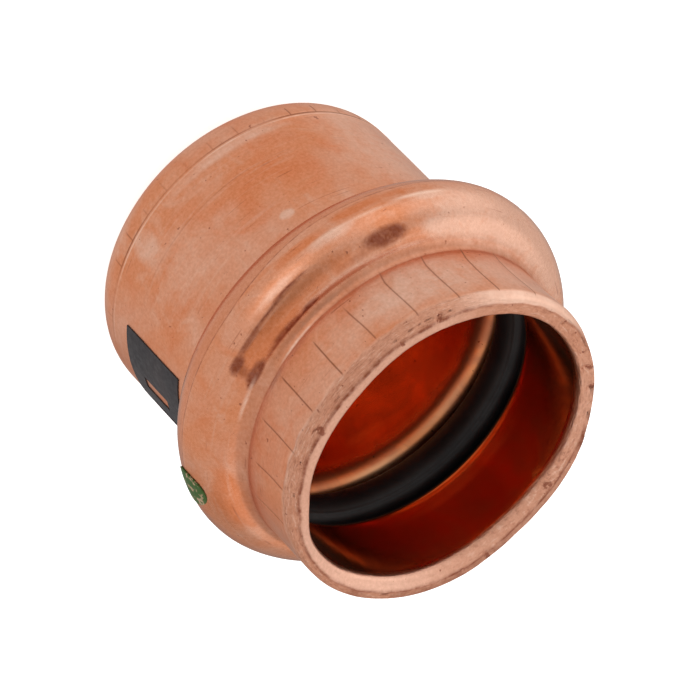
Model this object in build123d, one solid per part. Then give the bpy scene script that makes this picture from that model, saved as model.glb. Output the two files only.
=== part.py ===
"""Press-fit end cap for 22 mm copper tube: a one-piece copper shell with a seal in its bead.

Millimetres. +Z runs along the axis, out of the socket's mouth. The origin is the centre of the
closed end's outer face, so the cap stands on Z = 0 with its mouth up. The marking patch faces -Y.
"""

from build123d import *
import os

# Driving dimensions
TUBE_DIAMETER = 22.0
SOCKET_CLEARANCE = 0.1  # radial, between the tube and the socket's wall
WALL = 1.6
LENGTH = 27.8
MOUTH_TO_BEAD = 9.5  # from the mouth's plane to the middle of the bead
BEAD_CREST_RADIUS = 15.6
BEAD_ROUNDING = 3.45  # the bead's outer radius in section
BEAD_WALL = 1.45  # forming thins the wall where it bulges
GUIDE_FLARE = 0.1  # how far the tube guide stands out from the shell behind the bead
END_CORNER_RADIUS = 3.2
FRONT_BLEND = 1.1  # between the tube guide and the bead, outside
REAR_BLEND = 0.6  # between the bead and the shell behind it, outside
LIP_ROUNDING = 1.5  # both edges of the seal's groove, inside
RIM_OUTER_ROUNDING = 0.5
RIM_INNER_ROUNDING = 0.25

SEAL_CORD_DIAMETER = 3.2
SEAL_GAP = 0.02  # between the seal and the bottom of its groove

MARK_THICKNESS = 0.08
PATCH_HEIGHT = 7.1  # along the axis
PATCH_ARC = 73.0  # degrees round the shell
PATCH_FROM_END = 5.6  # from the closed end to the patch's nearer edge
PATCH_FACES = -90.0  # degrees round +Z from +X
BAR_COUNT = 4  # plain windows in the patch, through which the copper shows
BAR_PITCH = 12.0  # degrees
BAR_WIDTH = 1.1
BAR_HEIGHT = 3.2
DOT_RADIUS = 1.6
DOT_FACES = -108.0  # degrees round +Z from +X

# Worked out from them
BORE_RADIUS = TUBE_DIAMETER / 2 + SOCKET_CLEARANCE
SHELL_RADIUS = BORE_RADIUS + WALL
GUIDE_RADIUS = SHELL_RADIUS + GUIDE_FLARE
BEAD_Z = LENGTH - MOUTH_TO_BEAD
BEAD_CENTRE_RADIUS = BEAD_CREST_RADIUS - BEAD_ROUNDING
GROOVE_ROUNDING = BEAD_ROUNDING - BEAD_WALL
SEAL_CORD_RADIUS = SEAL_CORD_DIAMETER / 2
SEAL_CENTRE_RADIUS = BEAD_CREST_RADIUS - BEAD_WALL - SEAL_GAP - SEAL_CORD_RADIUS


def block(radius, low, high):
    """A rectangle in section, from the axis out to radius."""
    return Pos(radius / 2, (low + high) / 2) * Rectangle(radius, high - low)


def corners_at(section, radius, low, high):
    """The section's corners at that radius, between two heights."""
    return [v for v in section.vertices() if abs(v.X - radius) < 1e-4 and low < v.Y < high]


def outer_section():
    """What the outside of the shell encloses."""
    section = block(SHELL_RADIUS, 0, BEAD_Z) + block(GUIDE_RADIUS, BEAD_Z, LENGTH)
    section += Pos(BEAD_CENTRE_RADIUS, BEAD_Z) * Circle(BEAD_ROUNDING)
    section = fillet(corners_at(section, GUIDE_RADIUS, BEAD_Z, LENGTH - 1), FRONT_BLEND)
    section = fillet(corners_at(section, SHELL_RADIUS, 1, BEAD_Z), REAR_BLEND)
    section = fillet(corners_at(section, SHELL_RADIUS, -1, 1), END_CORNER_RADIUS)
    return fillet(corners_at(section, GUIDE_RADIUS, LENGTH - 1, LENGTH + 1), RIM_OUTER_ROUNDING)


def inner_section():
    """The hollow: the bore, and the groove that the seal sits in."""
    section = block(BORE_RADIUS, WALL, LENGTH)
    section += Pos(BEAD_CENTRE_RADIUS, BEAD_Z) * Circle(GROOVE_ROUNDING)
    section = fillet(corners_at(section, BORE_RADIUS, WALL + 1, LENGTH - 1), LIP_ROUNDING)
    return fillet(corners_at(section, BORE_RADIUS, 0, WALL + 1), END_CORNER_RADIUS - WALL)


def mouth_rounding():
    """A ring cut away to round the rim's inner edge."""
    r, c = RIM_INNER_ROUNDING, BORE_RADIUS + RIM_INNER_ROUNDING
    corner = Pos(c - r / 2, LENGTH - r / 2) * Rectangle(r, r)
    return corner - Pos(c, LENGTH - r) * Circle(r)


def turned(section):
    """The section, drawn in radius and height, turned about the axis."""
    return revolve(Plane.XZ * section, Axis.Z)


def shell():
    """The copper shell: tube guide, bead and closed end in one piece."""
    return turned(outer_section() - inner_section() - mouth_rounding())


def seal():
    """The rubber ring in the bead's groove, which stands a little into the bore."""
    return Pos(0, 0, BEAD_Z) * Torus(SEAL_CENTRE_RADIUS, SEAL_CORD_RADIUS)


def marking_patch():
    """A printed patch on the shell, as a film of even thickness with plain bars left open."""
    middle = PATCH_FROM_END + PATCH_HEIGHT / 2
    section = Pos(SHELL_RADIUS + MARK_THICKNESS / 2, middle) * Rectangle(MARK_THICKNESS, PATCH_HEIGHT)
    film = Rot(0, 0, -PATCH_ARC / 2) * revolve(Plane.XZ * section, Axis.Z, PATCH_ARC)
    bar = Pos(SHELL_RADIUS, 0, middle) * Box(10 * MARK_THICKNESS, BAR_WIDTH, BAR_HEIGHT)
    for i in range(BAR_COUNT):
        film -= Rot(0, 0, (i - (BAR_COUNT - 1) / 2) * BAR_PITCH) * bar
    return Rot(0, 0, PATCH_FACES) * film


def contour_dot():
    """A round printed dot on the bead's crest, as a film of even thickness."""
    film = Pos(BEAD_CENTRE_RADIUS, BEAD_Z) * (
        Circle(BEAD_ROUNDING + MARK_THICKNESS) - Circle(BEAD_ROUNDING)
    )
    punch = Pos(BEAD_CREST_RADIUS, 0, BEAD_Z) * Rot(0, 90, 0) * Cylinder(DOT_RADIUS, BEAD_ROUNDING)
    return Rot(0, 0, DOT_FACES) * (turned(film) & punch)


PARTS = {
    "copper_shell": shell,
    "seal_ring": seal,
    "marking_patch": marking_patch,
    "contour_dot": contour_dot,
}

os.makedirs("parts", exist_ok=True)
for name, make in PARTS.items():
    export_step(make(), f"parts/{name}.step")
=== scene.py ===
"""The looks of a copper press-fit end cap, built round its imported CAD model.

Metres. The cap stands on its closed end at the origin, with its mouth up +Z. Angles are in degrees
round +Z from +X, and the photographed side faces -X.
"""

import bpy
import math
import numpy as np
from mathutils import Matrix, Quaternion, Vector, noise


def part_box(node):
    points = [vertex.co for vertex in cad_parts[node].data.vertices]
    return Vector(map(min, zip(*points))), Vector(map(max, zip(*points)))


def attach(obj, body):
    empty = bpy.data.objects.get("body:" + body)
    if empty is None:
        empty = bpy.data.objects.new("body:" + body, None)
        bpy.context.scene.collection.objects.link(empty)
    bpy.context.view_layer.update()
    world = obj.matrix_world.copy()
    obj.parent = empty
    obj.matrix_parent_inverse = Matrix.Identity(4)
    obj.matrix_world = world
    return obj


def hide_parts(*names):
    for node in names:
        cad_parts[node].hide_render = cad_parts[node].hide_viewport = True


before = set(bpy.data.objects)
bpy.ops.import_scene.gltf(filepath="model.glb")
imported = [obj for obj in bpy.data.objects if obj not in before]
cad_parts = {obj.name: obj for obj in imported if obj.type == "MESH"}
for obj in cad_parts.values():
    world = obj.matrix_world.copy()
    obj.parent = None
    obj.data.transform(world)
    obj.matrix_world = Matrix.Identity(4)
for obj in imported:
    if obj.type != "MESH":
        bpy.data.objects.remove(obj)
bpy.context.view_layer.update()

MM = 0.001
TAU = 2 * math.pi

# The shell's section, as in the CAD model
SHELL_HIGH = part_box("copper_shell")[1]
LENGTH = SHELL_HIGH.z
BEAD_CREST = SHELL_HIGH.y
BORE = 11.1 * MM
WALL = 1.6 * MM
SHELL = BORE + WALL
GUIDE_FLARE = 0.1 * MM
GUIDE = SHELL + GUIDE_FLARE
MOUTH_TO_BEAD = 9.5 * MM
BEAD_Z = LENGTH - MOUTH_TO_BEAD
BEAD_ROUNDING = 3.45 * MM
BEAD_CENTRE = BEAD_CREST - BEAD_ROUNDING
GROOVE_ROUNDING = 2.0 * MM
END_CORNER = 3.2 * MM
INNER_CORNER = END_CORNER - WALL
FRONT_BLEND = 1.1 * MM
REAR_BLEND = 0.6 * MM
LIP_ROUNDING = 1.5 * MM
RIM_OUTER = 0.5 * MM
RIM_INNER = 0.25 * MM

# What the mesh changes in it
LIP_CREEP = 0.25 * MM  # how far the lip behind the seal closes over it
GROOVE_ALLOWANCE = 0.03 * MM  # added to its radius, so that its flat facets clear the seal

# Where its zones are
GUIDE_ZONE_LOW = BEAD_Z + 3 * MM
GUIDE_ZONE_RADIUS = GUIDE + 0.6 * MM
BEAD_ZONE_RADIUS = GUIDE + 0.4 * MM
END_ZONE_HIGH = 3.6 * MM
RIM_ZONE = (LENGTH - 0.45 * MM, LENGTH - 0.25 * MM)  # none of it below the first, all of it above the second

# Marks that the tools left on the copper
LINE_HALF_WIDTH = 0.095 * MM
LINE_REACH = 1.05 * LINE_HALF_WIDTH  # from its middle to where it ends, just past the mesh's next point
LINE_DEPTH = 0.03 * MM
SCRIBE_COUNT = 24
SCRIBE_FIRST = 171.8
SCRIBE_LOW = ((20, 23.6), (100, 22.1), (160, 22.3), (175, 23.2), (250, 23.3))  # as (facing, millimetres)
SCRIBE_HIGH = LENGTH - 0.3 * MM
SCRIBE_LEAN = 1.2  # degrees, how far a line may wander
SCRIBE_HOOK = ((20, 0.0), (80, -1.4), (160, -1.2), (175, 0.0))  # as (facing, degrees its start strays)
SCRIBE_SEED = 100
END_TICK_COUNT = 36
END_TICK_FIRST = 176.9
END_TICK_SEED = 200
END_MARKS_FACE = 125  # where the marks near the closed end are strongest
END_LINE_Z = 3.5 * MM
END_RIDGE_Z = END_LINE_Z + 2.5 * LINE_HALF_WIDTH  # of the metal that the line's tool pushed up
END_RIDGE_HEIGHT = 0.03 * MM
FAINT_LINE_Z = 7.0 * MM
FAINT_LINE_FACES = 135
FAINT_LINE_STRENGTH = 0.45
SPOT_HEIGHT = 12.66  # millimetres, of a small pale spot
FORMING_DEPTH = 0.02 * MM  # of the soft unevenness left by forming
PARTING_STEP = 0.02 * MM  # between the two sides of the bead's parting line
PARTING_BELOW = 1.0  # millimetres from the bead's middle down to that line
PARTING_RISE = 0.7  # millimetres that it comes nearer round one facing
PARTING_RISE_FACES = 225
PARTING_RISE_REACH = (25, 62)  # degrees from there, fully and at all

# The seal's mould line, from the seal's middle
MOULD_LINE_RISE = 1.15 * MM
MOULD_LINE_WIDTH = 0.12 * MM

# How close the mesh's rows and columns are
ROW_STEP = 0.5 * MM
END_ROW_STEP = 2.0 * MM  # on the closed end's flat face
SPOT_ROW_STEP = 0.2 * MM
SPOT_ROW_REACH = 0.8 * MM  # either side of the pale spot
GUIDE_ROW_STEP = 0.4 * MM
EDGE_ROW_STEP = 0.12 * MM
EDGE_ROW_REACH = 1.4 * MM  # from the mouth, down the outside
RIM_ROW_STEP = 0.09 * MM
MOUTH_ROW_STEP = 0.7 * MM  # inside, before the seal
DEEP_ROW_STEP = 0.9 * MM  # behind it
FLOOR_ROW_STEP = 2.4 * MM  # on the hollow's floor
POLE_RADIUS = 0.2 * MM  # of the first and last rows, round the axis
SAME_POINT = 1e-7  # points of the section nearer than this, in metres, are one
COLUMN_STEP = 2.0  # degrees
FINE_COLUMN_STEP = 0.68
FINE_SIDE = (118, 252)  # nearest the camera

# The bead and the crease before it, as (facing, millimetres)
BEAD_SWELL = ((60, 0.18), (105, 0.18), (145, 0.0), (250, 0.0), (330, 0.08))
CREASE_SHIFT = (
    (60, -0.3), (110, -0.35), (150, -0.3), (180, -0.25),
    (206, -0.1), (228, 0.0), (330, 0.0),
)
CREASE_DEPTH = 0.022 * MM  # how far the blend is pressed in
CREASE_STARTS = (BEAD_Z + 3.1 * MM, BEAD_Z + 3.32 * MM)
CREASE_ENDS = (BEAD_Z + 4.1 * MM, BEAD_Z + 4.25 * MM)
CREASE_RADIUS = GUIDE + 0.8 * MM  # it is all within that

# The cut rim: how its shape changes round the mouth, as (facing, millimetres)
INNER_FLARE = (
    (0, 0.25), (30, 0.50), (60, 0.60), (95, 0.28), (150, -0.12),
    (195, -0.26), (235, -0.08), (260, 0.28), (300, 0.24), (335, 0.30),
)
OUTER_FLARE = (
    (0, 0.24), (22, 0.42), (50, 0.0), (100, 0.2), (160, 0.1),
    (220, 0.1), (262, -0.04), (300, 0.28), (335, 0.52),
)
RIM_RISE = ((0, 0.0), (60, 0.0), (150, 0.12), (190, 0.26), (230, 0.08), (280, 0.0), (315, 0.15))
INNER_DROP = (
    (10, 0.40), (35, 0.12), (60, 0.05), (110, 0.0), (240, 0.0),
    (262, 0.2), (290, 0.34), (312, 0.3), (350, 0.42),
)
OUTER_DROP = (
    (20, 0.1), (60, 0.05), (80, 0.15), (95, 0.12), (115, 0.15), (140, 0.35),
    (165, 0.5), (210, 0.55), (240, 0.4), (262, 0.2), (300, 0.12), (345, 0.12),
)
FLARE_REACH_OUTSIDE = 3.5 * MM  # down from the mouth
FLARE_REACH_INSIDE = 6.5 * MM
INNER_DROP_ZONE = (LENGTH - 0.55 * MM, LENGTH - 0.2 * MM)
SCUFF_STEP = 0.08  # millimetres, from the inner facet down to the outer one where that is scuffed
RIM_ROUGHNESS = 0.006 * MM
SCUFF_ROUGHNESS = 0.05 * MM  # added where it is scuffed
BURR_HEIGHT = 0.06 * MM
BURR_WIDTH = 0.09 * MM
BURR_BELOW = 0.42  # millimetres, from the mouth down to the burr
BURR_WANDER = 0.12  # millimetres that it strays from there
EDGE_SLACK = 1e-6  # metres, so that rounding keeps no point out of the outer corner

# How sharp its outer corner is, and the share of the wall at which its two facets meet, as (facing, share)
CORNER_SHARPNESS = ((0, 0.9), (55, 0.6), (90, 0.0), (230, 0.2), (320, 0.9))
FACET_SEAM = (
    (20, 0.6), (60, 0.9), (80, 0.8), (95, 0.6),
    (150, 0.5), (240, 0.52), (265, 0.6), (300, 0.65),
)
SEAM_BLUR = 0.03  # share of the wall, either side of where they meet
SEAM_LINE_WIDTH = 0.075  # share of the wall

# How scuffed each facet is, its painted shade and painted highlight by how its tilt turns it from the light
# or to it, and how dark the line between, as (facing, strength)
INNER_SCUFF = (
    (0, 0.5), (20, 0.7), (45, 0.45), (85, 0.55), (115, 0.4),
    (140, 0.15), (240, 0.1), (262, 0.0), (310, 0.0),
)
OUTER_SCUFF = (
    (0, 0.5), (65, 0.5), (85, 0.1), (120, 0.05), (140, 0.45),
    (225, 0.6), (245, 0.6), (280, 0.6), (310, 0.5),
)
SEAM_LINE = (
    (0, 1.0), (50, 0.9), (90, 0.6), (115, 0.4),
    (140, 1.0), (240, 1.0), (270, 0.8), (330, 1.0),
)
INNER_SHADE = (
    (20, 0.35), (50, 0.3), (85, 0.6), (130, 0.7), (150, 0.25),
    (230, 0.25), (260, 0.0), (310, 0.0), (340, 0.4),
)
OUTER_HIGHLIGHT = ((75, 0.0), (95, 0.8), (130, 0.8), (148, 0.0), (330, 0.0))
OUTER_SHADE = (
    (0, 0.35), (60, 0.4), (95, 0.0), (125, 0.1),
    (150, 0.58), (235, 0.58), (275, 0.6), (310, 0.6),
)

# Nicks in the rim: (facing, share of the wall, reach, depth), the last two in millimetres
NICKS = (
    (66.5, 0.6, 0.42, 0.16),
    (57.4, 0.75, 0.30, 0.10),
    (74.6, 0.5, 0.22, 0.07),
    (103.0, 0.62, 0.14, 0.08),
    (93.6, 0.58, 0.16, 0.10),
    (85.3, 0.57, 0.14, 0.08),
    (109.0, 0.33, 0.12, 0.06),
    (336.2, 0.93, 0.20, 0.12),
    (345.6, 0.75, 0.28, 0.10),
    (16.7, 0.35, 0.45, 0.08),
    (150.4, 0.6, 0.40, 0.12),
    (165.8, 0.42, 0.22, 0.10),
    (206.4, 0.5, 0.42, 0.12),
)
NICK_SLANT = 0.4  # each leans across the wall, every second one the other way

# Patches that are more than chance, mostly painted light: (facing, height, half its length, half its width,
# softness, strength), with height, length and width in millimetres
# Painted dark reflections on the bead, and thin lines of painted shade along its crease
DARK_REFLECTIONS = (
    (197, 20.95, 3.2, 0.58, 0.35, 0.26),
    (191, 21.45, 2.2, 0.10, 0.5, 0.7),
    (205.5, 20.5, 0.9, 0.35, 0.5, 0.9),
    (205.5, 21.4, 1.3, 0.20, 0.4, 0.95),
    (206.5, 20.95, 0.6, 0.42, 0.7, 0.6),
    (199, 20.38, 2.2, 0.14, 0.5, 0.8),
    (190, 20.30, 2.2, 0.11, 0.5, 0.8),
    (180, 20.12, 1.7, 0.17, 0.5, 0.9),
    (150, 20.75, 1.9, 0.50, 0.5, 0.9),
    (160, 21.1, 2.4, 0.25, 0.8, 0.4),
    (179.5, 21.45, 0.9, 0.08, 0.4, 1.0),
    (187, 21.5, 1.2, 0.06, 0.5, 0.8),
)
# Deeper orange: painted reflections and painted shade on the bead, uneven tone on the body
ORANGE_TONE_AND_REFLECTIONS = (
    (158, 8.2, 3.8, 2.4, 0.9, 0.75),
    (150, 5.4, 2.5, 0.9, 0.8, 0.6),
    (135, 7.6, 2.2, 0.9, 0.8, 0.5),
    (172, 18.5, 2.6, 0.45, 0.7, 0.9),
    (186, 18.0, 2.4, 0.3, 0.7, 0.7),
    (153, 18.1, 2.0, 0.5, 0.6, 1.0),
    (140, 18.0, 1.6, 0.35, 0.7, 0.7),
    (170, 20.8, 3.4, 0.6, 0.9, 0.8),
    (194, 20.95, 4.4, 0.58, 0.5, 1.0),
    (138, 21.1, 2.0, 0.4, 0.9, 0.5),
    (142, 1.2, 5.0, 1.2, 0.8, 0.6),
    (215, 10.5, 3.0, 2.5, 1.0, 0.5),
    (222, 19.5, 3.0, 1.6, 1.0, 0.5),
    (236, 21.2, 3.0, 0.6, 0.9, 0.5),
    (252, 21.1, 3.2, 1.0, 0.9, 1.0),
    (184, 21.5, 1.6, 0.35, 0.8, 0.6),
)
# Paler: painted highlights on the bead, painted light on the side facing +Y, and uneven tone and a small pale
# spot elsewhere
PALE_TONE_AND_HIGHLIGHTS = (
    (205, 5.3, 1.2, 1.9, 0.5, 0.7),
    (164.3, SPOT_HEIGHT, 0.62, 0.46, 0.3, 0.9),
    (215, 1.0, 5.0, 1.6, 0.7, 0.7),
    (200, 9.0, 3.2, 4.0, 0.9, 0.5),
    (178, 9.0, 1.8, 1.2, 0.9, 0.4),
    (165, 4.2, 6.0, 0.5, 0.8, 0.7),
    (110, 20.2, 7.0, 2.0, 0.6, 1.0),
    (132, 19.0, 1.8, 0.5, 0.7, 0.9),
    (163, 19.2, 1.8, 0.45, 0.8, 0.9),
    (183, 19.7, 2.0, 0.35, 0.8, 0.8),
    (130, 20.9, 2.2, 0.7, 0.6, 1.0),
    (85, 20.0, 6.0, 2.4, 0.7, 1.0),
    (222, 1.0, 5.0, 1.8, 0.8, 0.6),
    (146, 24.8, 6.5, 2.6, 0.7, 0.8),
    (180, 24.6, 4.0, 2.4, 0.8, 0.45),
    (104, 8.0, 6.0, 8.0, 0.8, 0.8),
    (108, 24.6, 5.0, 3.0, 0.7, 1.0),
)

# Painted highlights: thin bright streaks where the bead's crest, the crease and the line near the closed end
# catch the light, in the same terms
HIGHLIGHT_STREAKS = (
    (134, 18.72, 2.0, 0.09, 0.6, 1.0),
    (150, 18.95, 1.6, 0.12, 0.8, 0.6),
    (166, 21.42, 3.4, 0.05, 0.5, 0.9),
    (150, 21.5, 2.4, 0.05, 0.5, 0.7),
    (190, 22.3, 1.8, 0.10, 0.6, 0.8),
    (214, 21.48, 1.6, 0.06, 0.5, 0.8),
    (205, 22.55, 5.0, 0.09, 0.7, 0.45),
    (122, 4.45, 4.0, 0.08, 0.6, 0.5),
    (160, 19.0, 3.0, 0.10, 0.8, 0.6),
    (183, 19.75, 3.4, 0.08, 0.8, 0.6),
)

# Painted highlights inside: orange glows on the far wall, in the same terms
INSIDE_HIGHLIGHTS = (
    (341, 13.6, 1.8, 0.6, 0.8, 1.0),
    (338, 16.6, 3.0, 0.5, 0.8, 0.9),
    (358, 22.3, 6.5, 0.6, 0.8, 1.0),
    (10, 15.9, 3.5, 0.4, 0.8, 0.5),
)


# ---------------------------------------------------------------- section


def arc(centre_r, centre_z, radius, start, end, count):
    """Points along an arc of the section, its angles in degrees from outwards towards the mouth."""
    turns = np.radians(np.linspace(start, end, count))
    return [(centre_r + radius * math.cos(t), centre_z + radius * math.sin(t)) for t in turns]


def run(start, end, step):
    """Points along a straight stretch, without its ends."""
    count = max(1, round(math.dist(start, end) / step))
    return [tuple(np.array(start) + (np.array(end) - start) * i / count) for i in range(1, count)]


def joined(*stretches):
    """Stretches of points in turn. A number between two is the step of the straight run that joins them."""
    points = list(stretches[0])
    step = ROW_STEP
    for stretch in stretches[1:]:
        if isinstance(stretch, float):
            step = stretch
            continue
        points += run(points[-1], stretch[0], step)
        points += [p for p in stretch if math.dist(p, points[-1]) > SAME_POINT]
        step = ROW_STEP
    return points


def line_rows(r, z):
    """Three rows across a line round the shell."""
    return [(r, z + side) for side in (-LINE_HALF_WIDTH, 0, LINE_HALF_WIDTH)]


def blend_angle(centre_r, centre_z):
    """The angle from a blend's centre to the bead's, in degrees."""
    return math.degrees(math.atan2(BEAD_Z - centre_z, BEAD_CENTRE - centre_r)) % 360


def outside_section():
    """From the closed end's centre to the top of the rim."""
    rear_r = SHELL + REAR_BLEND
    rear_z = BEAD_Z - math.sqrt((BEAD_ROUNDING + REAR_BLEND) ** 2 - (rear_r - BEAD_CENTRE) ** 2)
    front_r = GUIDE + FRONT_BLEND
    front_z = BEAD_Z + math.sqrt((BEAD_ROUNDING + FRONT_BLEND) ** 2 - (front_r - BEAD_CENTRE) ** 2)
    rear = blend_angle(rear_r, rear_z)
    front = blend_angle(front_r, front_z)
    return joined(
        [(0, 0), (POLE_RADIUS, 0)],
        END_ROW_STEP,
        arc(SHELL - END_CORNER, END_CORNER, END_CORNER, -90, 0, 20),
        line_rows(SHELL, END_LINE_Z),
        line_rows(SHELL, END_RIDGE_Z),
        line_rows(SHELL, FAINT_LINE_Z),
        [(SHELL, SPOT_HEIGHT * MM - SPOT_ROW_REACH)],
        SPOT_ROW_STEP,
        [(SHELL, SPOT_HEIGHT * MM + SPOT_ROW_REACH)],
        arc(rear_r, rear_z, REAR_BLEND, 180, rear, 8),
        arc(BEAD_CENTRE, BEAD_Z, BEAD_ROUNDING, rear - 180, front - 180, 36),
        arc(front_r, front_z, FRONT_BLEND, front, 180, 18),
        GUIDE_ROW_STEP,
        [(GUIDE, LENGTH - EDGE_ROW_REACH)],
        EDGE_ROW_STEP,
        arc(GUIDE - RIM_OUTER, LENGTH - RIM_OUTER, RIM_OUTER, 0, 90, 7),
    )


def inside_section():
    """From the top of the rim to the centre of the hollow's floor."""
    lip_r = BORE + LIP_ROUNDING
    rise = math.sqrt((GROOVE_ROUNDING + LIP_ROUNDING) ** 2 - (lip_r - BEAD_CENTRE) ** 2)
    front = blend_angle(lip_r, BEAD_Z + rise)
    return joined(
        [(GUIDE - RIM_OUTER, LENGTH)],
        RIM_ROW_STEP,
        arc(BORE + RIM_INNER, LENGTH - RIM_INNER, RIM_INNER, 90, 180, 5),
        MOUTH_ROW_STEP,
        arc(lip_r, BEAD_Z + rise, LIP_ROUNDING, 180, front, 9),
        arc(BEAD_CENTRE, BEAD_Z, GROOVE_ROUNDING + GROOVE_ALLOWANCE, front - 180, 180 - front, 12),
        arc(lip_r, BEAD_Z - rise + LIP_CREEP, LIP_ROUNDING, 360 - front, 180, 12),
        DEEP_ROW_STEP,
        arc(BORE - INNER_CORNER, WALL + INNER_CORNER, INNER_CORNER, 0, -90, 8),
        FLOOR_ROW_STEP,
        [(POLE_RADIUS, WALL), (0, WALL)],
    )


# ---------------------------------------------------------------- shaping


def ease(x, low, high):
    """0 below low, 1 above high, and smooth between."""
    t = np.clip((x - low) / (high - low), 0, 1)
    return t * t * (3 - 2 * t)


def off_by(angle, other):
    """How far apart two angles are, in degrees."""
    return np.abs((angle - other + 180) % 360 - 180)


def ripple(angle, waves, size, seed):
    """A random wave that closes on itself round the axis, as large as size or so."""
    draw = np.random.default_rng(seed)
    total = np.zeros_like(angle, dtype=float)
    for n in range(1, waves + 1):
        total += draw.normal() * np.cos(n * np.radians(angle) + draw.uniform(0, TAU)) / math.sqrt(n)
    return size * total / math.sqrt(math.log(waves) + 1)


def around(angle, stops):
    """A value that eases from stop to stop round the axis, from (facing, value) stops."""
    stops = sorted((facing % 360, value) for facing, value in stops)
    facings = [stops[-1][0] - 360] + [f for f, _ in stops] + [stops[0][0] + 360]
    values = [stops[-1][1]] + [v for _, v in stops] + [stops[0][1]]
    total = np.zeros_like(angle, dtype=float)
    turn = angle % 360
    for here, there, low, high in zip(facings, facings[1:], values, values[1:]):
        inside = (turn >= here) & (turn < there)
        total = np.where(inside, low + (high - low) * ease(turn, here, there), total)
    return total


def groove(distance, half_width):
    """1 on a line's middle, 0 from half_width away."""
    return np.clip(1 - np.abs(distance) / half_width, 0, 1)


def scribe_angles():
    """Where the lines along the tube guide are."""
    return [SCRIBE_FIRST + i * 360 / SCRIBE_COUNT for i in range(SCRIBE_COUNT)]


def tick_angles():
    """Where the ticks near the closed end are."""
    return [END_TICK_FIRST + i * 360 / END_TICK_COUNT for i in range(END_TICK_COUNT)]


def columns():
    """Angles of the mesh's columns: three on each line and tick, five on each nick, and even ones between."""
    half = math.degrees(LINE_HALF_WIDTH / GUIDE)
    lines = scribe_angles() + tick_angles()
    marks = {round((line + side) % 360, 4) for line in lines for side in (-half, 0, half)}
    for facing, _, reach, _ in NICKS:
        step = math.degrees(reach * MM / GUIDE) / 2
        marks |= {round((facing + i * step) % 360, 4) for i in range(-2, 3)}
    marks = sorted(marks)
    angles = []
    for here, there in zip(marks, marks[1:] + [marks[0] + 360]):
        fine = FINE_SIDE[0] < here < FINE_SIDE[1]
        count = max(1, round((there - here) / (FINE_COLUMN_STEP if fine else COLUMN_STEP)))
        angles += [here + (there - here) * i / count for i in range(count)]
    return np.array(angles)


def turned_faces(rows, cols):
    """Quads between a turned surface's rows, and triangles from its first and last rows to its two poles."""
    faces = []
    for i in range(rows - 1):
        for j in range(cols):
            k = (j + 1) % cols
            faces.append((i * cols + j, i * cols + k, (i + 1) * cols + k, (i + 1) * cols + j))
    low_pole, high_pole = rows * cols, rows * cols + 1
    for j in range(cols):
        k = (j + 1) % cols
        faces.append((low_pole, k, j))
        faces.append((high_pole, (rows - 1) * cols + j, (rows - 1) * cols + k))
    return faces


def turned(name, section, angles, shape):
    """A surface turned from a section that starts and ends on the axis, moved and dirtied by shape."""
    section = np.array(section)
    slope = np.gradient(section, axis=0)
    slope /= np.linalg.norm(slope, axis=1)[:, None]
    r, angle = np.meshgrid(section[1:-1, 0], angles, indexing="ij")
    z = np.meshgrid(section[1:-1, 1], angles, indexing="ij")[0]
    out_r, out_z = slope[1:-1, 1][:, None], -slope[1:-1, 0][:, None]
    r, z, angle, marks = shape(r, z, angle, out_r, out_z)
    rows, cols = r.shape
    turn = np.radians(angle)
    body = np.stack([r * np.cos(turn), r * np.sin(turn), z], axis=-1).reshape(-1, 3)
    poles = [[0, 0, section[0, 1]], [0, 0, section[-1, 1]]]
    mesh = bpy.data.meshes.new(name)
    mesh.from_pydata(np.vstack([body, poles]).tolist(), [], turned_faces(rows, cols))
    mesh.shade_smooth()
    at_poles = [0, 0]
    for mark, strength in marks.items():
        layer = mesh.attributes.new(mark, "FLOAT", "POINT")
        layer.data.foreach_set("value", np.append(strength.ravel(), at_poles).astype(np.float32))
    piece = bpy.data.objects.new(name, mesh)
    bpy.context.scene.collection.objects.link(piece)
    return piece


def scribed_lines(r, z, angle):
    """Straight lines scribed along the tube guide, as 0 to 1."""
    marks = np.zeros_like(r)
    for i, facing in enumerate(scribe_angles()):
        draw = np.random.default_rng(SCRIBE_SEED + i)
        low = (around(np.array([facing]), SCRIBE_LOW)[0] + draw.uniform(-0.3, 0.3)) * MM
        high = SCRIBE_HIGH - draw.uniform(0, 0.5) * MM
        off = np.radians(off_by(angle, facing)) * r
        length = ease(z, low - 0.3 * MM, low + 0.3 * MM) * (1 - ease(z, high, high + 0.2 * MM))
        marks = np.maximum(marks, groove(off, LINE_REACH) * length * draw.uniform(0.75, 1.0))
    return marks


def end_share(angle, low):
    """How strongly the marks near the closed end show round the shell, as 0 to 1."""
    near = np.cos(np.radians(angle - END_MARKS_FACE))
    return ease(ripple(angle, waves=14, size=0.5, seed=3) + near, low, 0.9)


def end_marks(r, z, angle):
    """The line round the closed end and the short ticks beyond it, as 0 to 1."""
    patchy = end_share(angle, -0.1)
    marks = groove(z - END_LINE_Z, LINE_REACH) * (0.15 + 0.85 * patchy)
    for i, facing in enumerate(tick_angles()):
        draw = np.random.default_rng(END_TICK_SEED + i)
        off = np.radians(off_by(angle, facing)) * r
        low = END_LINE_Z - draw.uniform(0.5, 1.3) * MM
        tick = groove(off, LINE_REACH) * ease(z, low, low + 0.1 * MM)
        marks = np.maximum(marks, tick * (z < END_LINE_Z) * patchy * draw.uniform(0.5, 1.0))
    return marks


def end_ridge(z, angle):
    """The metal pushed up beside that line, as 0 to 1."""
    return groove(z - END_RIDGE_Z, LINE_REACH) * end_share(angle, -0.3)


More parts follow.
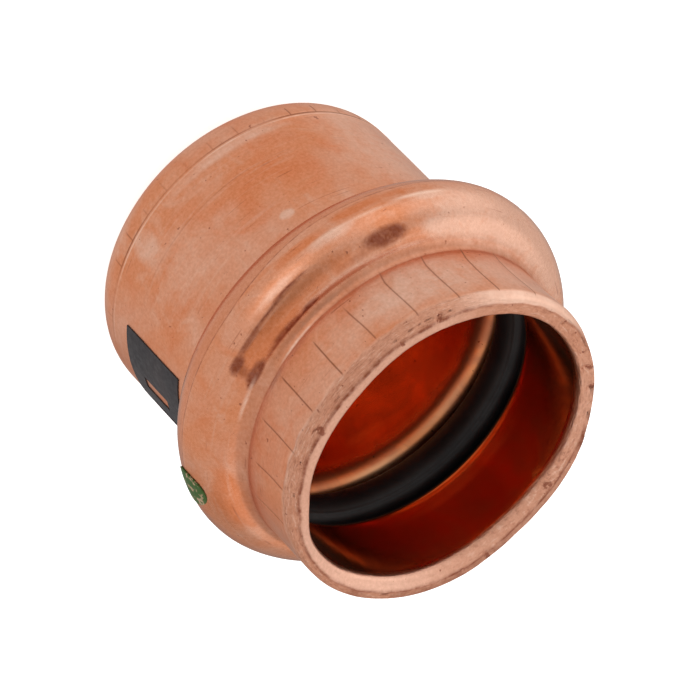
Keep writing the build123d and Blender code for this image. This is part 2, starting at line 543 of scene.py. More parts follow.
def faint_line(z, angle):
    """A broken line round the shell on one side, as 0 to 1."""
    near = 1.4 * np.cos(np.radians(angle - FAINT_LINE_FACES))
    side = ease(ripple(angle, waves=9, size=0.6, seed=5) + near, 0.4, 1.6)
    broken = ease(ripple(angle, waves=40, size=1.0, seed=6), -0.4, 0.6)
    return FAINT_LINE_STRENGTH * side * broken * groove(z - FAINT_LINE_Z, LINE_REACH)


def parting_height(angle):
    """Where the bead's two forming dies met, a line that wanders along the crest."""
    below = PARTING_BELOW - PARTING_RISE * (1 - ease(off_by(angle, PARTING_RISE_FACES), *PARTING_RISE_REACH))
    return BEAD_Z - below * MM + ripple(angle, waves=30, size=0.03 * MM, seed=15)


def pressed_in(r, z):
    """How far each point lies in the crease pressed before the bead, as 0 to 1."""
    return ease(z, *CREASE_STARTS) * (1 - ease(z, *CREASE_ENDS)) * (r < CREASE_RADIUS)


def crease_shift(z, angle):
    """How far the surface round that crease is moved along the axis, in metres."""
    low, middle, high = BEAD_Z + 2.3 * MM, BEAD_Z + 4.2 * MM, BEAD_Z + 6 * MM
    crease = ease(z, low, middle) * (1 - ease(z, middle, high))
    return around(angle, CREASE_SHIFT) * MM * crease


def seal_lip(z):
    """The lip behind the seal, as 0 to 1."""
    return ease(z, BEAD_Z - 3.5 * MM, BEAD_Z - 3.0 * MM) * (1 - ease(z, BEAD_Z - 2 * MM, BEAD_Z))


def lean(z, angle):
    """How many degrees the guide's columns turn, each line its own way, so that none is quite straight."""
    facings = [f % 360 for f in scribe_angles()]
    draw = np.random.default_rng(41)
    leans = np.interp(angle, np.sort(facings), draw.uniform(-1, 1, len(facings)), period=360)
    share = 1 - ease(z, BEAD_Z + 3.6 * MM, LENGTH - 1.5 * MM)
    hook = around(angle, SCRIBE_HOOK) * (1 - ease(z, BEAD_Z + 3.9 * MM, BEAD_Z + 5.2 * MM))
    return (SCRIBE_LEAN * leans * share + hook) * ease(z, BEAD_Z + 2 * MM, BEAD_Z + 4 * MM)


def noise_at(x, y, z, size, seed):
    """Smooth noise from -1 to 1 at each point, with lumps of about that size."""
    points = np.stack([x, y, z], axis=-1).reshape(-1, 3) / size
    offset = Vector((seed, 0, 0))
    return np.array([noise.noise(Vector(p) + offset) for p in points]).reshape(x.shape)


def lumps(r, z, angle, size, seed):
    """Smooth random lumps of about that size, from -1 to 1."""
    turn = np.radians(angle)
    return noise_at(r * np.cos(turn), r * np.sin(turn), z, size, seed)


def drawn_lumps(r, z, angle, size, seed, stretch):
    """Lumps drawn out round the axis by stretch."""
    turn = np.radians(angle)
    ring = BORE / stretch
    return noise_at(ring * np.cos(turn), ring * np.sin(turn), z + r - BORE, size, seed)


def formed(r, z, angle, outside):
    """The soft unevenness left by forming, from -1 to 1, none at the axis."""
    off_axis = ease(r, 1.0 * MM, 5 * MM)
    over = lumps(r, z, angle, size=4 * MM, seed=11)
    under = lumps(r, z, angle, size=5 * MM, seed=12)
    return off_axis * np.where(outside, over, under)


def torn(r, z, angle):
    """The fine roughness that the cut left, about from -1 to 1."""
    coarse = drawn_lumps(r, z, angle, size=0.3 * MM, seed=3, stretch=2.5)
    return coarse + 0.6 * lumps(r, z, angle, size=0.16 * MM, seed=4)


def in_patches(r, z, angle, stains):
    """How strongly each point lies in one of the listed patches, as 0 to 1."""
    strength = np.zeros_like(r)
    for facing, height, half_length, half_width, softness, most in stains:
        turn = (angle - facing + 180) % 360 - 180
        round_by = np.radians(turn) * r / (half_length * MM)
        along_by = (z - height * MM) / (half_width * MM)
        away = np.hypot(round_by, along_by)
        strength = np.maximum(strength, most * (1 - ease(away, 1 - softness, 1 + softness)))
    return strength


def nicked(r, angle):
    """How deep each point of the rim is nicked, in metres, and how strongly that shows, as 0 to 1."""
    depth, strength = np.zeros_like(r), np.zeros_like(r)
    for i, (facing, share, reach, deep) in enumerate(NICKS):
        across = r - BORE - share * (GUIDE - BORE)
        round_by = np.radians((angle - facing + 180) % 360 - 180) * r
        away = np.hypot(across, round_by + NICK_SLANT * across * (-1) ** i) / (reach * MM)
        dent = 1 - ease(away, 0.35, 1.0)
        depth = np.maximum(depth, dent * deep * MM)
        strength = np.maximum(strength, dent)
    return depth, strength


def wall_share(r):
    """How far each point is through the wall, 0 at the bore and 1 at the guide."""
    return np.clip((r - BORE) / (GUIDE - BORE), 0, 1)


def facet_seam(r, z, angle):
    """The share of the wall at which the rim's two facets meet, ragged."""
    ragged = 0.05 * drawn_lumps(r, z, angle, size=0.45 * MM, seed=21, stretch=2.0)
    ragged = ragged + ripple(angle, waves=40, size=0.02, seed=22)
    return np.clip(around(angle, FACET_SEAM) + ragged, 0.1, 0.95)


def outer_facet(share, seam):
    """0 on the rim's inner facet and 1 on its outer one."""
    return ease(share, seam - SEAM_BLUR, seam + SEAM_BLUR)


def burred(r, z, angle):
    """The thin burr that the cut raised round the mouth's outer edge, as 0 to 1."""
    height = LENGTH - (BURR_BELOW + BURR_WANDER * ripple(angle, waves=30, size=1.0, seed=33)) * MM
    ridge = np.exp(-(((z - height) / BURR_WIDTH) ** 2)) * (r > GUIDE - 0.3 * MM)
    return ridge * around(angle, OUTER_SCUFF) * ease(ripple(angle, waves=50, size=1.0, seed=34), -0.6, 0.6)


def cut_rim(r, z, angle, outside, rim):
    """The mouth isn't quite round or flat, and the cut left two facets that meet in a ragged seam."""
    corner = outside & (r > GUIDE - RIM_OUTER - EDGE_SLACK) & (z > LENGTH - RIM_OUTER - EDGE_SLACK)
    sharpness = around(angle, CORNER_SHARPNESS) * RIM_OUTER * corner
    fill_r = 1 - (r - GUIDE + RIM_OUTER) / RIM_OUTER
    fill_z = 1 - (z - LENGTH + RIM_OUTER) / RIM_OUTER
    near_outside = ease(z, LENGTH - FLARE_REACH_OUTSIDE, LENGTH)
    near_inside = np.clip(1 - (LENGTH - z) / FLARE_REACH_INSIDE, 0, 1)
    near = np.where(outside, near_outside, near_inside)
    top = ease(z, *INNER_DROP_ZONE)
    share = wall_share(r)
    flare = (1 - share) * around(angle, INNER_FLARE) + share * around(angle, OUTER_FLARE)
    seam = facet_seam(r, z, angle)
    inner = around(angle, INNER_DROP) * np.clip(1 - share / seam, 0, 1) * top
    outer = around(angle, OUTER_DROP) * np.clip((share - seam) / (1 - seam), 0, 1)
    step = SCUFF_STEP * around(angle, OUTER_SCUFF) * outer_facet(share, seam)
    jagged = 1 + 0.3 * drawn_lumps(r, z, angle, size=0.5 * MM, seed=9, stretch=2.0)
    rise = around(angle, RIM_RISE) + ripple(angle, waves=12, size=0.035, seed=8)
    r = r + sharpness * fill_r + near * flare * MM
    z = z + sharpness * fill_z + near * (rise - (outer + step) * jagged) * MM - inner * MM
    return r, z - nicked(r, angle)[0] * rim


def shape_shell(rows_outside):
    """The copper's shape function: what forming, cutting and scribing did to the plain section."""

    def shape(r, z, angle, out_r, out_z):
        outside = np.arange(len(r))[:, None] < rows_outside
        guide = outside & (z > GUIDE_ZONE_LOW) & (r < GUIDE_ZONE_RADIUS)
        end = outside & (z < END_ZONE_HIGH) & (r > SHELL - END_CORNER)
        bead = outside & (r > BEAD_ZONE_RADIUS)
        rim = ease(z, *RIM_ZONE)
        away = 1 - rim

        lines = np.maximum(scribed_lines(r, z, angle) * guide, end_marks(r, z, angle) * end)
        lines = np.maximum(lines, faint_line(z, angle) * outside)
        ridge = end_ridge(z, angle) * outside
        parting = parting_height(angle)
        strip = bead * ease(parting - z, -0.15 * MM, 0.15 * MM)
        pressed = pressed_in(r, z) * outside
        burr = burred(r, z, angle) * outside
        share, seam = wall_share(r), facet_seam(r, z, angle)
        outer = outer_facet(share, seam)
        scuff = (outer * around(angle, OUTER_SCUFF) + (1 - outer) * around(angle, INNER_SCUFF)) * rim
        # Painted highlights on the streaks, the ridge beside the end line and the rim's outer facet, with the
        # burr painted bright too
        worn_and_highlight = np.maximum(outside * in_patches(r, z, angle, HIGHLIGHT_STREAKS), np.maximum(burr, ridge))
        marks = {
            "grime": lines,
            "polish": np.where(outside, 0.8 * bead, away),
            "inside": np.where(outside, 0.0, away),
            "cut": rim,
            "lip": (1 - outside) * seal_lip(z),
            "scuff": scuff,
            "ledge": np.exp(-(((share - seam) / SEAM_LINE_WIDTH) ** 2)) * rim * around(angle, SEAM_LINE),
            # Painted shade on the rim's facets, where their tilt turns them from the light
            "facet": rim * np.where(share > seam, around(angle, OUTER_SHADE), around(angle, INNER_SHADE)),
            "nick": nicked(r, angle)[1] * rim,
            "pressed": pressed,
            "past_parting": bead * ((z - parting) / MM),
            # Painted dark reflections on the bead
            "dark_reflection": outside * in_patches(r, z, angle, DARK_REFLECTIONS),
            # Painted reflections and shade on the bead, uneven tone on the body
            "orange": outside * in_patches(r, z, angle, ORANGE_TONE_AND_REFLECTIONS),
            # Painted highlights, and painted light on the side facing +Y, besides pale tone
            "pale": outside * in_patches(r, z, angle, PALE_TONE_AND_HIGHLIGHTS),
            # Painted highlights inside
            "inside_highlight": (1 - outside) * in_patches(r, z, angle, INSIDE_HIGHLIGHTS),
            "worn_and_highlight": np.maximum(worn_and_highlight, rim * outer * around(angle, OUTER_HIGHLIGHT)),
        }

        inward = LINE_DEPTH * lines + CREASE_DEPTH * pressed + PARTING_STEP * strip
        inward += FORMING_DEPTH * away * formed(r, z, angle, outside)
        inward += torn(r, z, angle) * (RIM_ROUGHNESS * rim + SCUFF_ROUGHNESS * scuff)
        inward -= BURR_HEIGHT * burr + END_RIDGE_HEIGHT * ridge
        swell = around(angle, BEAD_SWELL) * MM * np.clip((r - GUIDE) / (BEAD_CREST - GUIDE), 0, 1) * outside
        shift = crease_shift(z, angle) * outside
        angle = angle + lean(z, angle) * guide
        r, z = cut_rim(r - inward * out_r, z - inward * out_z, angle, outside, rim)
        return r + swell, np.maximum(z + shift, 0), angle, marks

    return shape


# ---------------------------------------------------------------- materials


class Shader:
    """A node material under construction."""

    def __init__(self, name):
        self.material = bpy.data.materials.new(name)
        self.material.use_nodes = True
        self.tree = self.material.node_tree
        self.surface = self.tree.nodes["Principled BSDF"]
        self.marks = {}

    def add(self, kind, **values):
        """A node, with its settings and its sockets' values or links by name, or by number as in _0."""
        node = self.tree.nodes.new("ShaderNode" + kind)
        for key, value in values.items():
            if hasattr(node, key) and key not in node.inputs:
                setattr(node, key, value)
            else:
                self.feed(node.inputs[int(key[1:]) if key[0] == "_" else key.replace("_", " ")], value)
        return node

    def feed(self, socket, value):
        """Links a socket to another one, or sets its value."""
        if isinstance(value, bpy.types.NodeSocket):
            self.tree.links.new(value, socket)
        else:
            socket.default_value = value

    def math(self, operation, a, b=0.0, clamp=False):
        """The result of one arithmetic operation."""
        return self.add("Math", operation=operation, _0=a, _1=b, use_clamp=clamp).outputs[0]

    def times(self, a, b):
        """The product of two values."""
        return self.math("MULTIPLY", a, b)

    def mark(self, name):
        """A strength that the mesh holds at each of its points."""
        if name not in self.marks:
            self.marks[name] = self.add("Attribute", attribute_name=name).outputs["Fac"]
        return self.marks[name]

    def ramp(self, value, *stops):
        """A grey that follows a value, from (value, brightness) stops."""
        node = self.add("ValToRGB", Fac=value)
        while len(node.color_ramp.elements) < len(stops):
            node.color_ramp.elements.new(0.5)
        for element, (position, grey) in zip(node.color_ramp.elements, stops):
            element.position = position
            element.color = (grey, grey, grey, 1)
        return node.outputs[0]

    def mix(self, share, a, b, blend="MIX"):
        """Colour a where share is 0 and b where it is 1, or the two blended in another way."""
        node = self.add("Mix", data_type="RGBA", blend_type=blend)
        colour_a, colour_b, result = 6, 7, 2  # the numbers of the sockets that are for colours
        self.feed(node.inputs[0], share)
        self.feed(node.inputs[colour_a], a)
        self.feed(node.inputs[colour_b], b)
        return node.outputs[result]

    def place(self, *scales, turn=(0, 0, 0)):
        """Object coordinates, in metres, turned and times a scale for each axis."""
        coordinates = self.add("TexCoord").outputs["Object"]
        mapping = self.add("Mapping", vector_type="POINT", Vector=coordinates, Rotation=turn, Scale=scales)
        return mapping.outputs[0]

    def rings(self, along, across):
        """Coordinates that make noise into lines round the axis, drawn out along and close across."""
        x, y, z = self.add("SeparateXYZ", Vector=self.place(1, 1, 1)).outputs
        slope = 0.7  # the lines change along the radius too, so that flat faces have them
        radius = self.math("SQRT", self.math("ADD", self.times(x, x), self.times(y, y)))
        level = self.math("SUBTRACT", z, self.times(radius, slope))
        parts = (self.times(x, along), self.times(y, along), self.times(level, across))
        return self.add("CombineXYZ", X=parts[0], Y=parts[1], Z=parts[2]).outputs[0]

    def ragged(self, strength, grain, sharpness):
        """A patch's strength with its soft edge broken up by a grain."""
        lifted = self.times(self.math("SUBTRACT", grain, 0.5), sharpness)
        broken = self.math("ADD", strength, self.times(lifted, self.times(strength, 2.0)))
        return self.ramp(broken, (0.25, 0.0), (0.9, 1.0))

    def noise(self, vector, scale, detail, roughness=0.55, distortion=0.0):
        """Noise from 0 to 1."""
        values = {"Scale": scale, "Detail": detail, "Roughness": roughness, "Distortion": distortion}
        return self.add("TexNoise", Vector=vector, **values).outputs[0]

    def bump(self, height, distance, strength, normal=None):
        """A normal tilted by a height, on top of another normal if one is given."""
        node = self.add("Bump", Height=height, Distance=distance, Strength=strength)
        if normal is not None:
            self.feed(node.inputs["Normal"], normal)
        return node.outputs[0]

    def finish(self, **values):
        """Feeds the surface's sockets by name and gives the material."""
        for key, value in values.items():
            self.feed(self.surface.inputs[key.replace("_", " ")], value)
        return self.material


# How much red, green and blue the copper reflects in each state, and the other materials
ORANGE_COPPER = (0.650, 0.232, 0.105, 1)
PINK_COPPER = (0.655, 0.290, 0.172, 1)
DEEP_COPPER = (0.63, 0.190, 0.070, 1)
PALE_COPPER = (0.72, 0.400, 0.280, 1)
STRIP_COPPER = (0.58, 0.205, 0.100, 1)
FRESH_COPPER = (0.81, 0.465, 0.335, 1)
# Also the rim facets' painted shade
SCUFFED_AND_SHADE_COPPER = (0.56, 0.225, 0.120, 1)
# Also painted highlights
WORN_AND_HIGHLIGHT_COPPER = (0.90, 0.600, 0.460, 1)
# Brighter and redder than the outside: painted light for the light that bounces round the hollow
INSIDE_BOUNCE_COPPER = (0.80, 0.300, 0.125, 1)
INSIDE_STREAK = (0.64, 0.245, 0.120, 1)
# Painted highlight inside
INSIDE_HIGHLIGHT_COPPER = (0.96, 0.500, 0.260, 1)
# Also painted dark reflections on the bead
STAIN_AND_DARK_REFLECTION = (0.25, 0.058, 0.022, 1)
# Painted shade in the crease before the bead
CREASE_SHADE_COPPER = (0.50, 0.195, 0.105, 1)
GRIME = (0.18, 0.055, 0.025, 1)
GRAZING_TINT = (0.93, 0.79, 0.72, 1)  # of light that glances off it
RUBBER_BLACK = (0.006, 0.006, 0.007, 1)
RUBBER_BLOOM = (0.014, 0.014, 0.015, 1)
DARK_INK = (0.030, 0.025, 0.027, 1)
DARK_INK_WORN = (0.046, 0.036, 0.037, 1)
GREEN_INK = (0.040, 0.095, 0.014, 1)
GREEN_INK_WORN = (0.09, 0.12, 0.03, 1)
COPPER_UNDER_INK = (0.50, 0.32, 0.20, 1)

# How far each ink is rubbed through. Below 0 it hardly is.
DARK_INK_WEAR = -0.12
GREEN_INK_WEAR = 0.10

# Two sets of hairline scratches: how each is turned, in radians, and how fine the places that have them are
HAIRLINES = (((0.5, 0.9, 0.3), 260), ((1.9, 0.4, 1.2), 310))
HAIR_SCALES = (110, 110, 5200)  # of the noise that makes them, long two ways and thin the third


def copper_grains(s):
    """The patterns that the copper's colour, roughness and relief share, from coarse to fine."""
    even = s.place(1, 1, 1)
    return {
        "cloud": s.noise(even, scale=105, detail=3, roughness=0.5, distortion=0.6),
        "blotch": s.noise(even, scale=300, detail=5, roughness=0.62, distortion=0.9),
        "mottle": s.noise(even, scale=1100, detail=4, roughness=0.6, distortion=0.4),
        "fine": s.noise(even, scale=4200, detail=3, roughness=0.6),
        "streaks": s.noise(s.rings(along=110, across=1900), scale=1, detail=4, roughness=0.62),
        "scratches": s.noise(s.rings(along=1400, across=9000), scale=1, detail=3, roughness=0.65),
        "specks": s.ramp(s.noise(even, scale=2300, detail=2, roughness=0.5), (0.24, 0.7), (0.29, 0.0)),
    }


def tarnish_and_painted_light_colour(s, grains):
    """The outside: orange and pink patches, then painted reflections, painted shade and painted highlights,
    and the bead's parting line.
    """
    blotch, mottle, streaks = grains["blotch"], grains["mottle"], grains["streaks"]
    past_parting = s.mark("past_parting")
    base = s.mix(s.ramp(grains["cloud"], (0.40, 0.0), (0.58, 1.0)), ORANGE_COPPER, PINK_COPPER)
    base = s.mix(s.ramp(blotch, (0.50, 0.0), (0.70, 0.6)), base, DEEP_COPPER)
    base = s.mix(s.ramp(blotch, (0.28, 0.45), (0.44, 0.0)), base, PALE_COPPER)
    # Painted reflections and shade on the bead, uneven tone elsewhere
    base = s.mix(s.ragged(s.mark("orange"), blotch, 0.9), base, DEEP_COPPER)
    # Painted highlights, and painted light on the side facing +Y, besides pale tone
    base = s.mix(s.ragged(s.mark("pale"), mottle, 0.7), base, PALE_COPPER)
    base = s.mix(s.ramp(streaks, (0.56, 0.0), (0.74, 0.35)), base, PALE_COPPER)
    base = s.mix(s.ramp(streaks, (0.26, 0.3), (0.42, 0.0)), base, DEEP_COPPER)
    # Painted shade in the crease before the bead
    pressed = s.times(s.mark("pressed"), s.ramp(mottle, (0.35, 0.7), (0.65, 0.35)))
    base = s.mix(pressed, base, CREASE_SHADE_COPPER)
    # Painted dark reflections on the bead
    base = s.mix(s.ragged(s.mark("dark_reflection"), mottle, 0.6), base, STAIN_AND_DARK_REFLECTION)
    base = s.mix(s.times(s.math("LESS_THAN", past_parting, -0.001), 0.7), base, STRIP_COPPER)
    off_line = s.math("ABSOLUTE", past_parting)
    line = s.times(s.ramp(off_line, (0.0, 1.0), (0.09, 0.0)), s.math("GREATER_THAN", off_line, 0.0001))
    return s.mix(s.times(line, s.ramp(mottle, (0.40, 0.9), (0.60, 0.3))), base, STAIN_AND_DARK_REFLECTION)


def cut_colour(s, grains, base):
    """The rim on top: fresh where it was cut, with painted shade on its facets, then scuffed, scratched and
    nicked.
    """
    scuff, mottle, scratches = s.mark("scuff"), grains["mottle"], grains["scratches"]
    base = s.mix(s.times(s.mark("cut"), 0.9), base, FRESH_COPPER)
    # Painted shade on the rim's facets
    base = s.mix(s.mark("facet"), base, SCUFFED_AND_SHADE_COPPER)
    base = s.mix(s.times(scuff, s.ramp(mottle, (0.36, 0.9), (0.60, 0.4))), base, SCUFFED_AND_SHADE_COPPER)
    base = s.mix(s.times(scuff, s.ramp(scratches, (0.36, 0.6), (0.44, 0.0))), base, STAIN_AND_DARK_REFLECTION)
    base = s.mix(s.times(scuff, s.ramp(scratches, (0.56, 0.0), (0.66, 0.7))), base, WORN_AND_HIGHLIGHT_COPPER)
    base = s.mix(s.times(s.mark("ledge"), s.ramp(mottle, (0.40, 1.0), (0.62, 0.35))), base, STAIN_AND_DARK_REFLECTION)
    return s.mix(s.times(s.ragged(s.mark("nick"), grains["fine"], 3.0), 0.85), base, STAIN_AND_DARK_REFLECTION)


def handled_and_highlight_colour(s, grains, base):
    """Dark specks, hairline scratches and grain on top, and painted highlights where the light catches it,
    the burr among them.
    """
    fine = grains["fine"]
    base = s.mix(grains["specks"], base, STAIN_AND_DARK_REFLECTION)
    for turn, patches in HAIRLINES:
        lines = s.noise(s.place(*HAIR_SCALES, turn=turn), scale=1, detail=1, roughness=0.5)
        places = s.noise(s.place(1, 1, 1), scale=patches, detail=1)
        hair = s.times(s.ramp(lines, (0.68, 0.0), (0.73, 0.4)), s.ramp(places, (0.58, 0.0), (0.64, 1.0)))
        base = s.mix(hair, base, STAIN_AND_DARK_REFLECTION)
    base = s.mix(1.0, base, s.ramp(fine, (0.3, 0.91), (0.7, 1.01)), "MULTIPLY")
    base = s.mix(1.0, base, s.ramp(fine, (0.3, 0.0), (0.7, 0.035)), "ADD")
    # Painted highlights, with the burr
    worn_and_highlight = s.times(s.mark("worn_and_highlight"), s.ramp(grains["mottle"], (0.30, 1.0), (0.62, 0.5)))
    return s.mix(worn_and_highlight, base, WORN_AND_HIGHLIGHT_COPPER)


def drawn_colour(s, grains):
    """The inside: copper painted brighter and redder for the light that bounces round the hollow, streaked
    where it was drawn, with painted highlights where orange glows fall.
    """
    streaks = grains["streaks"]
    base = s.mix(s.ramp(grains["blotch"], (0.44, 0.0), (0.60, 1.0)), INSIDE_BOUNCE_COPPER, INSIDE_STREAK)
    base = s.mix(s.ramp(streaks, (0.55, 0.0), (0.72, 0.5)), base, INSIDE_STREAK)
    # Painted highlights inside
    base = s.mix(s.ragged(s.mark("inside_highlight"), streaks, 0.6), base, INSIDE_HIGHLIGHT_COPPER)
    return s.mix(grains["specks"], base, STAIN_AND_DARK_REFLECTION)


def copper_roughness(s, grains):
    """Satin, smoother on the bead and inside, rougher where it is dirty or scuffed."""
    rough = s.ramp(grains["blotch"], (0.35, 0.32), (0.7, 0.42))
    rough = s.math("SUBTRACT", rough, s.times(s.mark("polish"), 0.12))
    rough = s.math("SUBTRACT", rough, s.times(s.mark("inside"), 0.06))
    worn = s.math("ADD", s.math("ADD", s.mark("grime"), s.mark("scuff")), s.mark("lip"))
    return s.math("ADD", rough, s.times(worn, 0.2), clamp=True)


def copper_relief(s, grains):
    """Fine unevenness, less of it inside, and chatter on the rim."""
    calm = s.math("SUBTRACT", 1.0, s.times(s.mark("inside"), 0.9))
    unpolished = s.math("SUBTRACT", calm, s.times(s.mark("polish"), 0.6))
    cut = s.math("ADD", s.mark("scuff"), s.times(s.mark("cut"), 0.15))
    normal = s.bump(s.times(grains["mottle"], calm), 0.04 * MM, 0.5)
    normal = s.bump(s.times(grains["fine"], unpolished), 0.014 * MM, 0.5, normal)
    normal = s.bump(s.times(cut, grains["scratches"]), 0.16 * MM, 1.0, normal)
    return s.bump(s.times(grains["streaks"], calm), 0.03 * MM, 0.3, normal)


def copper():
    """Drawn copper: blotched by handling, streaked by forming, dark in its scribed lines, with painted
    reflections, painted shade and painted highlights.
    """
    s = Shader("copper")
    grains = copper_grains(s)
    outside = handled_and_highlight_colour(s, grains, cut_colour(s, grains, tarnish_and_painted_light_colour(s, grains)))
    base = s.mix(s.mark("inside"), outside, drawn_colour(s, grains))
    base = s.mix(s.times(s.mark("grime"), 0.8), base, GRIME)
    s.surface.inputs["Specular Tint"].default_value = GRAZING_TINT
    roughness, normal = copper_roughness(s, grains), copper_relief(s, grains)
    return s.finish(Base_Color=base, Metallic=1.0, Roughness=roughness, Normal=normal)


def rubber():
    """Moulded black rubber, with a faint bloom and a fine line where its mould parted."""
    s = Shader("seal_rubber")
    grain = s.noise(s.place(1, 1, 1), scale=3000, detail=3)
    bloom = s.noise(s.place(1, 1, 1), scale=300, detail=3)
    base = s.mix(s.ramp(bloom, (0.4, 0.0), (0.7, 1.0)), RUBBER_BLACK, RUBBER_BLOOM)
    rough = s.ramp(grain, (0.3, 0.40), (0.7, 0.52))
    height = s.add("SeparateXYZ", Vector=s.place(1, 1, 1)).outputs["Z"]
    off = s.math("ABSOLUTE", s.math("SUBTRACT", height, BEAD_Z + MOULD_LINE_RISE))
    line = s.ramp(s.times(off, 1 / MOULD_LINE_WIDTH), (0.0, 1.0), (1.0, 0.0))
    normal = s.bump(line, MOULD_LINE_WIDTH, 0.25, s.bump(grain, 0.02 * MM, 0.3))
    s.surface.inputs["Specular IOR Level"].default_value = 0.35
    return s.finish(Base_Color=base, Roughness=rough, Normal=normal)


def print_ink(name, colour, worn, wear):
    """Printed ink, unevenly laid and rubbed through to the copper in places, more of them as wear rises."""
    s = Shader(name)
    grain = s.noise(s.place(1, 1, 1), scale=2600, detail=3, roughness=0.6)
    cloud = s.noise(s.place(1, 1, 1), scale=420, detail=3)
    holes = s.noise(s.place(1, 1, 1), scale=1500, detail=3, roughness=0.65)
    base = s.mix(s.ramp(cloud, (0.4, 0.0), (0.7, 1.0)), colour, worn)
    base = s.mix(s.ramp(holes, (0.66 - wear, 0.0), (0.72 - wear, 0.85)), base, COPPER_UNDER_INK)
    s.surface.inputs["Specular IOR Level"].default_value = 0.2
    return s.finish(Base_Color=base, Roughness=s.ramp(grain, (0.3, 0.5), (0.7, 0.7)))


def pale_floor():
    """A floor so evenly lit that a shadow hardly shows on it."""
    s = Shader("floor")
    base = s.ramp(s.noise(s.place(1, 1, 1), scale=40, detail=2), (0.3, 0.80), (0.7, 0.82))
    s.surface.inputs["Roughness"].default_value = 0.9
    return s.finish(Base_Color=base, Emission_Color=(1, 1, 1, 1), Emission_Strength=0.75)


# ---------------------------------------------------------------- pieces


def give(piece, material):
    """Puts a material in a piece's only slot."""
    piece.data.materials.clear()
    piece.data.materials.append(material)


def build_shell():
    """The copper, in place of its plain CAD node."""
    outside = outside_section()
    shape = shape_shell(len(outside) - 1)
    piece = turned("copper_cap", outside + inside_section(), columns(), shape)
    give(piece, copper())
    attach(piece, "root")
    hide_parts("copper_shell")


def finish_cad_nodes():
    """Better materials on the CAD nodes whose shape is right."""
    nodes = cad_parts
    give(nodes["seal_ring"], rubber())
    give(nodes["marking_patch"], print_ink("dark_print", DARK_INK, DARK_INK_WORN, DARK_INK_WEAR))
    give(nodes["contour_dot"], print_ink("green_print", GREEN_INK, GREEN_INK_WORN, GREEN_INK_WEAR))


# ---------------------------------------------------------------- studio

# The camera, in millimetres for its lens and sensor, metres for its distance, and degrees
CAMERA_LENS = 308.6
CAMERA_SENSOR = 36
CAMERA_SEES = (0.01, 10)  # from how near to how far, in metres
CAMERA_DISTANCE = 0.4295
CAMERA_ELEVATION = 40.08
CAMERA_AZIMUTH = 180.0
CAMERA_ROLL = 136.06
CAMERA_AIM = Vector((0, 0, LENGTH * 0.5536))

FLOOR_HALF = 3.0  # half the floor's side, in metres

# Each patch of brightness: the way to it, how far it reaches in degrees, fully and at all, and how strong
ROOM_LIGHT = 0.90
ROOM_PATCHES = (
    ((-0.98, -0.05, 0.07), 8, 27, 0.45),  # a long soft box, level with the photographed side
    ((-0.60, 0.80, -0.05), 8, 28, 0.35),  # its middle
    ((0.05, 0.95, -0.15), 8, 32, 0.30),  # its right end
    ((0.42, 0.66, 0.62), 6, 34, 0.42),  # one above, to the right of the mouth
    ((0.70, -0.45, 0.55), 8, 30, 0.25),  # one to its left
    ((0.765, 0.0, -0.644), 5, 38, -0.38),  # the dark behind the cap
    ((0.75, -0.60, -0.20), 10, 45, -0.25),  # and below it
    ((-0.765, 0.0, 0.644), 10, 36, -0.26),  # the photographer
    ((-0.765, 0.0, 0.644), 4, 18, -0.12),  # the camera
)


def towards(azimuth, elevation):
    """A unit vector in that direction."""
    a, e = math.radians(azimuth), math.radians(elevation)
    return Vector((math.cos(a) * math.cos(e), math.sin(a) * math.cos(e), math.sin(e)))


def pointing(direction):
    """The rotation that points an object's -Z along a direction."""
    return direction.to_track_quat("-Z", "Y")


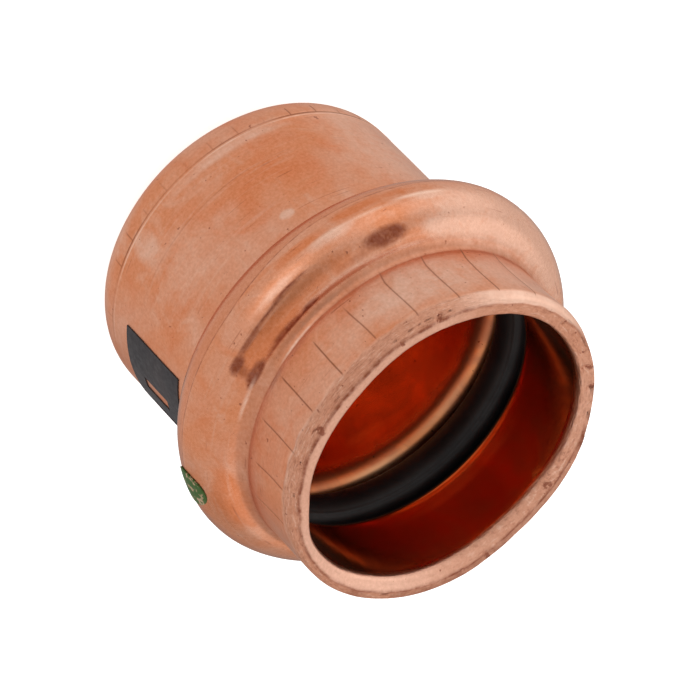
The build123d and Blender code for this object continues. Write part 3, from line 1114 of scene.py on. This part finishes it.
def build_camera():
    """A camera far off on the photographed side, looking down at the mouth and rolled."""
    lens = bpy.data.cameras.new("camera")
    lens.sensor_width = CAMERA_SENSOR
    lens.lens = CAMERA_LENS
    lens.clip_start, lens.clip_end = CAMERA_SEES
    camera = bpy.data.objects.new("camera", lens)
    away = towards(CAMERA_AZIMUTH, CAMERA_ELEVATION)
    camera.location = CAMERA_AIM + away * CAMERA_DISTANCE
    camera.rotation_mode = "QUATERNION"
    camera.rotation_quaternion = pointing(-away) @ Quaternion((0, 0, 1), math.radians(CAMERA_ROLL))
    bpy.context.scene.collection.objects.link(camera)
    bpy.context.scene.camera = camera


def build_room():
    """White light from all round, brighter where the soft boxes are."""
    world = bpy.data.worlds.new("room")
    world.use_nodes = True
    tree = world.node_tree
    way = tree.nodes.new("ShaderNodeTexCoord").outputs["Generated"]
    total = None
    for direction, full, reach, gain in ROOM_PATCHES:
        dot = tree.nodes.new("ShaderNodeVectorMath")
        dot.operation = "DOT_PRODUCT"
        dot.inputs[1].default_value = Vector(direction).normalized()
        tree.links.new(way, dot.inputs[0])
        patch = tree.nodes.new("ShaderNodeMapRange")
        patch.interpolation_type = "SMOOTHSTEP"
        patch.inputs["From Min"].default_value = math.cos(math.radians(reach))
        patch.inputs["From Max"].default_value = math.cos(math.radians(full))
        patch.inputs["To Max"].default_value = gain
        tree.links.new(dot.outputs["Value"], patch.inputs["Value"])
        plus = tree.nodes.new("ShaderNodeMath")
        plus.inputs[0].default_value = ROOM_LIGHT
        if total:
            tree.links.new(total, plus.inputs[0])
        tree.links.new(patch.outputs[0], plus.inputs[1])
        total = plus.outputs[0]
    tree.links.new(total, tree.nodes["Background"].inputs["Strength"])
    tree.nodes["Background"].inputs["Color"].default_value = (1, 1, 1, 1)
    bpy.context.scene.world = world


def build_floor():
    """A pale floor that only the camera sees, so that the light comes from all round."""
    mesh = bpy.data.meshes.new("floor")
    corners = [(x * FLOOR_HALF, y * FLOOR_HALF, 0) for x, y in ((-1, -1), (1, -1), (1, 1), (-1, 1))]
    mesh.from_pydata(corners, [], [(0, 1, 2, 3)])
    floor = bpy.data.objects.new("floor", mesh)
    bpy.context.scene.collection.objects.link(floor)
    give(floor, pale_floor())
    floor.visible_glossy = False
    floor.visible_diffuse = False
    floor.visible_shadow = False


build_camera()
build_shell()
finish_cad_nodes()
build_room()
build_floor()
bpy.context.scene.view_settings.view_transform = "Standard"
